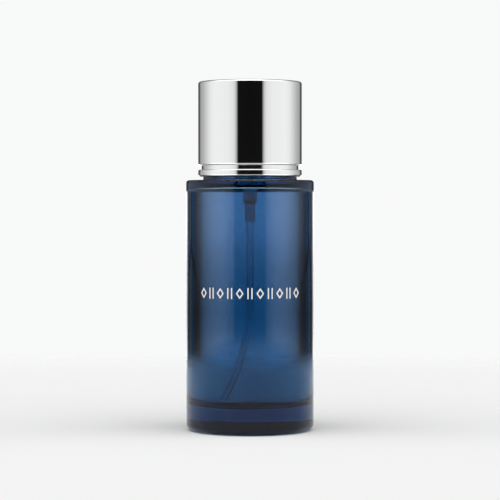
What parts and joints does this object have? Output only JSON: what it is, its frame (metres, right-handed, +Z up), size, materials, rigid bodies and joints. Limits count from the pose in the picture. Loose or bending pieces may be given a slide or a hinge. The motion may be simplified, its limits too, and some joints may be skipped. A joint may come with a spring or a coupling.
{
  "type": "aftershave bottle",
  "caption": "Round heavy-based glass atomiser bottle of blue aftershave, with a crimped spray pump, dip tube, bright metal collar and tall pull-off cap.",
  "frame": {"origin": "middle of the bounding box's bottom face, which is the plane of the ring that the bottle stands on", "axes": "+Z up along the bottle's axis, -Y towards the printed band and the spray nozzle, +X to the right as seen from the front"},
  "size_m": [0.056, 0.056, 0.1526],
  "materials": {
    "clear_glass": "polished transparent glass, tinted blue through its thickness",
    "printed_ink": "off-white ceramic ink, screen printed",
    "blue_liquid": "clear deep blue liquid",
    "tube_plastic": "translucent natural polyethylene",
    "pump_plastic": "translucent natural polypropylene",
    "valve_steel": "stainless steel",
    "seal_rubber": "matt black nitrile",
    "ferrule_metal": "bright anodised aluminium",
    "bright_metal": "mirror-polished silver anodised aluminium",
    "liner_plastic": "moulded white polypropylene",
    "button_plastic": "moulded dark grey acetal"
  },
  "bodies": {
    "flask": {"bottle_glass": "clear_glass", "printed_band": "printed_ink", "aftershave_liquid": "blue_liquid", "dip_tube": "tube_plastic", "pump_housing": "pump_plastic", "return_spring": "valve_steel", "barrel_cover": "pump_plastic", "stem_gasket": "seal_rubber", "neck_gasket": "seal_rubber", "crimp_ferrule": "ferrule_metal", "collar_insert": "liner_plastic", "collar_ring": "bright_metal"},
    "plunger": {"stem": "pump_plastic"},
    "piston": {"piston": "pump_plastic"},
    "button": {"spray_button": "button_plastic", "button_sleeve": "bright_metal", "nozzle_insert": "liner_plastic"},
    "inlet_valve": {"inlet_ball": "valve_steel"},
    "cap": {"cap_shell": "bright_metal", "cap_liner": "liner_plastic", "cap_grip": "liner_plastic"}
  },
  "joints": [
    {"name": "pump_press", "type": "slide", "parent": "flask", "child": "plunger", "axis": [0, 0, -1], "range_m": [0, 0.0048], "stiffness_N_per_m": 2000, "deforming": ["return_spring"]},
    {"name": "piston_slip", "type": "slide", "parent": "plunger", "child": "piston", "axis": [0, 0, 1], "range_m": [0, 0.0005]},
    {"name": "button_turn", "type": "hinge", "parent": "plunger", "child": "button", "pos_m": [0, 0, 0.134], "axis": [0, 0, 1], "continuous": true},
    {"name": "inlet_ball_lift", "type": "slide", "parent": "flask", "child": "inlet_valve", "axis": [0, 0, 1], "range_m": [0, 0.0008]},
    {"name": "cap_lift", "type": "slide", "parent": "flask", "child": "cap", "axis": [0, 0, 1], "range_m": [0, 0.045]}
  ]
}
